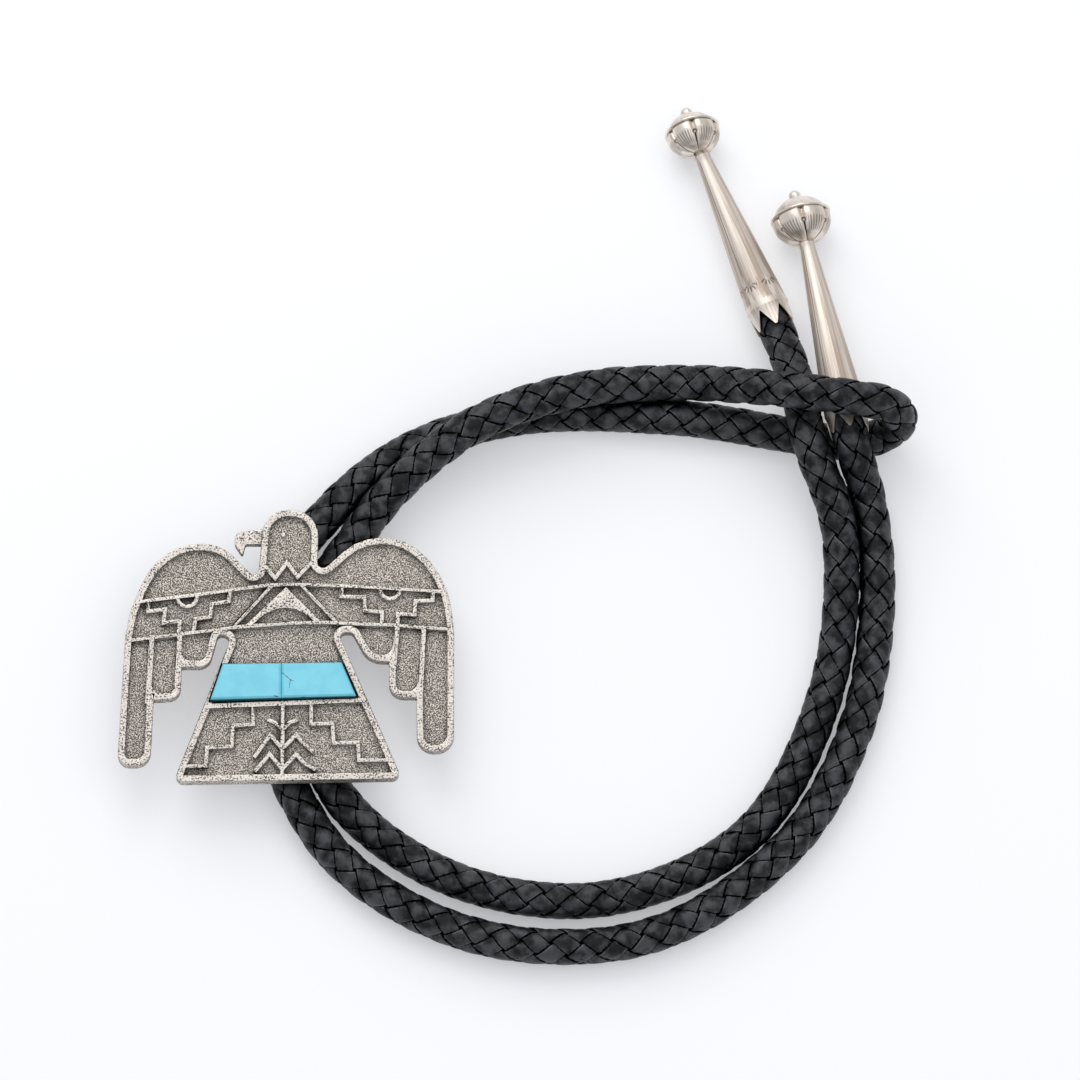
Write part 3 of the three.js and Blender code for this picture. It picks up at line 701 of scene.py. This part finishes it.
@dataclass
class Tip:
    """A silver cord tip: toothed mouth, cone, lobed ball and end bead, in one piece."""

    name: str
    end: tuple[float, float, float]
    heading: float
    tilt: float
    ball_heading: float
    ball_tilt: float
    size: float
    teeth_length: float = 5.0
    teeth: int = 6
    tooth_point: float = 0.6
    cord_insert: float = 1.5
    mouth_wall: float = 0.45
    cone_length: float = 43.8
    ball_diameter: float = 12.1
    ball_depth: float = 10.1
    ball_ring: float = 0.4
    ring_offset: float = 1.1
    lobe_depth: float = 0.35
    neck_diameter: float = 3.4
    bead_diameter: float = 2.8
    seam_angle: float = -0.75
    around: int = 240
    finish: PolishedSilver = PolishedSilver()

    def tooth_edge(self, angle: float) -> float:
        """Give how far from the teeth's points the mouth's edge lies.

        Args:
            angle: Angle round the tip in radians.

        Returns:
            Distance in millimetres.
        """
        mouth = CORD_DIAMETER / 2 + FIT_GAP + self.mouth_wall
        pitch = 2 * math.pi / self.teeth
        aside = abs((angle + 1e-9) % pitch - pitch / 2) * mouth
        half = (pitch * mouth - self.tooth_point) / 2
        return self.teeth_length * 0.88 * max(1 - aside / half, 0.0)

    def sun_stamp(self, angle: float, along: float) -> float:
        """Depth of the short rays that are stamped above each gap in the teeth.

        Args:
            angle: Angle round the tip in radians.
            along: Distance from the teeth's points in millimetres.

        Returns:
            A number from 0 to 1.
        """
        pitch = 2 * math.pi / self.teeth
        x = ((angle % pitch) - pitch / 2) * 4.6
        y = self.teeth_length + 6.1 - along
        far = math.hypot(x, y)
        spread = math.atan2(x, y) / (math.pi / 6)
        if abs(spread) > 2.5 or not 0.8 < far < 2.3:
            return 0.0
        ray = smooth_step(0.24, 0.1, abs(spread - round(spread)) * far * math.pi / 6)
        return ray * smooth_step(0.8, 1.1, far) * smooth_step(2.3, 2.0, far) * 0.7

    def seam_stamp(self, angle: float, radius: float, along: float) -> float:
        """Depth of the soldered seam along the cone.

        Args:
            angle: Angle round the tip in radians.
            radius: Radius of the cone there in millimetres.
            along: Distance from the teeth's points in millimetres.

        Returns:
            A number from 0 to 1.
        """
        aside = abs((angle - self.seam_angle + math.pi) % (2 * math.pi) - math.pi) * radius
        fade = smooth_step(self.teeth_length + 7.5, self.teeth_length + 9, along)
        return smooth_step(0.16, 0.06, aside) * fade * 0.75

    def fan_stamp(self, angle: float, share: float) -> float:
        """Depth of the fan of lines on each lobe of the ball.

        Args:
            angle: Angle round the tip in radians.
            share: Share of the way from the ball's pole to its equator.

        Returns:
            A number from 0 to 1.
        """
        pitch = math.pi / 3
        aside = ((angle % pitch) - pitch / 2) / pitch
        if not 0.38 < share < 0.86 or abs(aside) > 0.35:
            return 0.0
        lines = aside * 9
        line = smooth_step(0.4, 0.14, abs(lines - round(lines)))
        return line * smooth_step(0.38, 0.48, share) * smooth_step(0.86, 0.76, share) * 0.6

    def ring_stamp(self, angle: float, share: float) -> float:
        """Depth of the small ring at the end of each crease between two lobes.

        Args:
            angle: Angle round the tip in radians.
            share: Share of the way from the ball's pole to its equator.

        Returns:
            A number from 0 to 1.
        """
        pitch = math.pi / 3
        turn = (angle + pitch / 2) % pitch - pitch / 2
        ball = self.ball_diameter / 2 * self.size
        far = math.hypot(turn * ball * 0.95, (share - 0.74) * ball * 1.4)
        return smooth_step(0.22, 0.1, abs(far - 0.45)) * 0.8

    def cone_end(self) -> float:
        """Give how far from the teeth's points the cone meets the ball.

        Returns:
            Distance in millimetres.
        """
        share = self.neck_diameter / (self.ball_diameter * self.size)
        depth = self.ball_depth / 2 * self.size * math.sqrt(1 - share**2)
        return self.teeth_length + self.cone_length * self.size - depth

    def profile(self) -> list[tuple[float, float, str]]:
        """List the tip's section from the socket's floor to the end bead.

        Returns:
            Radius, distance along the axis and kind of each row, in millimetres. The distance is from the
            teeth's points, and for the ball from its centre.
        """
        socket = CORD_DIAMETER / 2 + FIT_GAP
        mouth = socket + self.mouth_wall
        ball = self.ball_diameter / 2 * self.size
        neck = self.neck_diameter / 2
        floor = self.teeth_length + self.cord_insert + FIT_GAP
        depth = self.ball_depth / 2 * self.size
        cone_end = self.cone_end()
        rows = [(0.0, floor, "plain"), (socket, floor, "plain"), (socket, self.teeth_length, "plain")]
        rows += [(socket, t, "teeth") for t in (0.66, 0.33, 0.0)]
        rows += [(socket + self.mouth_wall / 2, t, "teeth") for t in (0.0, 0.33, 0.66)]
        rows.append((mouth, self.teeth_length, "plain"))
        for k in range(1, 29):
            along = self.teeth_length + 0.25 * k
            rows.append((along, along, "cone"))
        for k in range(1, 17):
            along = self.teeth_length + 7 + (cone_end - 2.4 - self.teeth_length - 7) * k / 16
            rows.append((along, along, "cone"))
        for bulge, back in ((0.0, 1.0), (0.16, 0.8), (0.24, 0.55), (0.16, 0.3), (0.0, 0.1), (0.0, -0.8)):
            rows.append((bulge, cone_end - back, "collar"))
        ring = math.pi / 2 + math.asin(self.ring_offset / depth)
        for k in range(61):
            angle = 0.2 + (ring - 0.27) * k / 60
            rows.append((ball * math.sin(angle), -depth * math.cos(angle), "lobes"))
        for k in range(9):
            turn = math.radians(-100 + 25 * k)
            radius = ball * math.sin(ring) + self.ball_ring * math.cos(turn)
            rows.append((radius, self.ring_offset + self.ball_ring * 0.7 * math.sin(turn), "ring"))
        for k in range(31):
            angle = ring + 0.07 + (math.pi * 0.94 - ring - 0.07) * k / 30
            radius = ball - self.ball_ring / 2
            rows.append((radius * math.sin(angle), -depth * math.cos(angle), "ball"))
        bead = self.bead_diameter / 2
        for k in range(13):
            angle = math.pi / 3 + (math.pi - math.pi / 3) * k / 12
            rows.append((bead * math.sin(angle), depth + bead * 0.6 - bead * math.cos(angle), "ball"))
        return rows

    def build(self, material: bpy.types.Material) -> bpy.types.Object:
        """Build the tip in place of its solid.

        Args:
            material: Material that both tips share.

        Returns:
            The tip's object.
        """
        along_y = Vector((0, 1, 0))
        axis = direction(self.heading, self.tilt)
        origin = Vector(self.end) - axis * (self.teeth_length + self.cord_insert)
        turn = along_y.rotation_difference(axis)
        centre = origin + axis * (self.teeth_length + self.cone_length * self.size)
        ball_turn = along_y.rotation_difference(direction(self.ball_heading, self.ball_tilt))
        rows = self.profile()
        ball = self.ball_diameter / 2 * self.size
        mouth = CORD_DIAMETER / 2 + FIT_GAP + self.mouth_wall
        slope = (mouth - self.neck_diameter / 2) / (self.cone_end() - self.teeth_length)
        marks: dict[tuple[int, int], tuple[float, float]] = {}

        def place(row: int, column: int) -> Vector:
            """Give a corner's place by its row along the tip and its column round it."""
            radius, along, kind = rows[row]
            angle = 2 * math.pi * (column / self.around + 0.5)
            stamp = 0.0
            polish = {"teeth": 0.4, "ring": 1.0, "lobes": 0.6, "ball": 0.6}.get(kind, 0.0)
            if kind == "teeth":
                edge = self.tooth_edge(angle)
                along = edge + (self.teeth_length - edge) * along
            elif kind == "cone":
                radius = mouth - slope * (along - self.teeth_length)
                stamp = max(self.sun_stamp(angle, along), self.seam_stamp(angle, radius, along))
                polish = 0.4 * smooth_step(self.teeth_length + 1.8, self.teeth_length + 1.2, along)
            elif kind == "collar":
                radius += mouth - slope * (along - self.teeth_length)
            elif kind == "lobes":
                share = math.atan2(radius / ball, -2 * along / (self.ball_depth * self.size)) / (math.pi / 2)
                crease = 1 - abs(math.sin(3 * angle))
                radius -= self.lobe_depth * radius / ball * crease**3 * 2.2
                # Besides the stamps, the stamp mask darkens a thin line along each crease near the pole and a
                # band just before the ring wire
                line = smooth_step(0.82, 0.97, crease) * smooth_step(0.7, 0.66, share)
                under = smooth_step(1.03, 1.1, share) * 0.7
                stamp = max(self.fan_stamp(angle, share), self.ring_stamp(angle, share), line, under)
            radius -= 0.1 * stamp
            marks[row, column] = (stamp, polish)
            local = Vector((radius * math.sin(angle), along, radius * math.cos(angle)))
            if kind in ("lobes", "ring", "ball"):
                return centre + ball_turn @ local
            return origin + turn @ local

        mesh = bmesh.new()
        mesh.loops.layers.uv.new("UVMap")
        stamped = mesh.verts.layers.float.new("stamp")
        polished = mesh.verts.layers.float.new("polish")
        made = place_grid(mesh, len(rows), self.around + 1, place)
        for k, vert in enumerate(made):
            vert[stamped], vert[polished] = marks[divmod(k, self.around + 1)]
        bmesh.ops.remove_doubles(mesh, verts=mesh.verts, dist=1e-6)
        shown = show(mesh, self.name + "_silver", material, 50)
        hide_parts(self.name)
        return shown


@dataclass
class SoftenedSolid:
    """A piece whose shape is its solid's, with its edges worn round."""

    node: str
    finish: CastSilver | Turquoise | Nickel
    edge: float
    steps: int = 2
    seam: float | None = None

    def build(self, material: bpy.types.Material) -> bpy.types.Object:
        """Build the piece in place of its solid.

        Args:
            material: Material of the piece.

        Returns:
            The piece's object.
        """
        mesh = bmesh.new()
        mesh.from_mesh(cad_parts[self.node].data)
        bmesh.ops.remove_doubles(mesh, verts=mesh.verts, dist=2e-6)
        for vert in mesh.verts:
            aside = vert.co.x / MM - (self.seam or 0.0)
            if self.seam is not None and abs(aside) < 0.4:
                vert.co.x = (self.seam + math.copysign(0.03, aside)) * MM
        edges = [e for e in mesh.edges if e.is_convex and e.calc_face_angle(0.0) > math.radians(40)]
        bmesh.ops.bevel(
            mesh,
            geom=edges,
            offset=self.edge * MM,
            affect="EDGES",
            segments=self.steps,
            profile=0.5,
            material=-1,
            clamp_overlap=False,
        )
        shown = show(mesh, self.node + "_worn", material, 40)
        weighted = shown.modifiers.new("weighted", "WEIGHTED_NORMAL")
        weighted.mode = "FACE_AREA"
        weighted.keep_sharp = True
        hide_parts(self.node)
        return shown


@dataclass
class Studio:
    """Camera, lights and the card that the tie lies on."""

    scale: float = 0.225
    width: int = 1080
    elevation: float = 74.0
    distance: float = 8.0
    middle: tuple[float, float] = (57.15, 28.73)
    sensor: float = 36.0
    power: float = 4.5
    room_tint: str = "#eef0f5"
    room_light: float = 0.75

    def camera(self) -> None:
        """Place the camera that sees the tie as the photograph does."""
        data = bpy.data.cameras.new("camera")
        data.sensor_width = self.sensor
        data.lens = self.sensor * self.distance / (self.scale * self.width * MM)
        data.clip_start = 0.05
        data.clip_end = 20
        camera = bpy.data.objects.new("camera", data)
        low = math.radians(self.elevation)
        target = Vector((self.middle[0], self.middle[1], 0)) * MM
        camera.location = target + Vector((0, -math.cos(low), math.sin(low))) * self.distance
        camera.rotation_euler = (math.pi / 2 - low, 0, 0)
        bpy.context.scene.collection.objects.link(camera)
        bpy.context.scene.camera = camera

    def light(
        self, name: str, place: tuple[float, float, float], size: float, power: float, tint: str
    ) -> None:
        """Hang one square soft light that faces the tie.

        Args:
            name: Name of the light.
            place: Its place in metres.
            size: Its side in metres.
            power: Its power in watts.
            tint: Its colour.
        """
        data = bpy.data.lights.new(name, "AREA")
        data.shape = "SQUARE"
        data.size = size
        data.energy = power
        data.color = linear(tint)[:3]
        lamp = bpy.data.objects.new(name, data)
        lamp.location = place
        aim = Vector((self.middle[0] * MM, self.middle[1] * MM, 0)) - Vector(place)
        lamp.rotation_euler = aim.to_track_quat("-Z", "Y").to_euler()
        bpy.context.scene.collection.objects.link(lamp)

    def build(self) -> None:
        """Build the camera, the card, the lights and the pale room."""
        self.camera()
        mesh = bmesh.new()
        bmesh.ops.create_grid(mesh, x_segments=1, y_segments=1, size=2.0)
        data = bpy.data.meshes.new("card")
        mesh.to_mesh(data)
        mesh.free()
        data.materials.append(Card().make())
        card = bpy.data.objects.new("card", data)
        card.location.z = -0.0001
        bpy.context.scene.collection.objects.link(card)
        self.light("window", (-0.15, 0.75, 0.75), 0.8, self.power, "#fffdf8")
        self.light("ceiling", (0.35, 0.1, 1.3), 1.5, self.power, "#ffffff")
        world = bpy.data.worlds.new("room")
        world.use_nodes = True
        background = world.node_tree.nodes["Background"]
        background.inputs["Color"].default_value = linear(self.room_tint)
        background.inputs["Strength"].default_value = self.room_light
        bpy.context.scene.world = world
        bpy.context.scene.view_settings.view_transform = "Standard"


def main() -> None:
    """Build the pieces in order."""
    Studio().build()
    Braid().build()
    silver = CastSilver()
    SoftenedSolid("slide_plate", silver, 0.14).build(silver.make())
    turquoise = Turquoise()
    stone = turquoise.make()
    for node in ("turquoise_left", "turquoise_right"):
        SoftenedSolid(node, turquoise, 0.1, seam=STONE_SEAM).build(stone)
    nickel = Nickel()
    SoftenedSolid("back_clasp", nickel, 0.2).build(nickel.make())
    polished = PolishedSilver().make()
    Tip("tip_right", CORD_ROUTE[0], 101.8, -7.15, 104, -9, 1.1).build(polished)
    Tip("tip_left", CORD_ROUTE[-1], 112.5, 1, 105, -15, 1.0).build(polished)


if __name__ == "__main__":
    logging.basicConfig(level=logging.INFO, format="%(message)s")
    main()
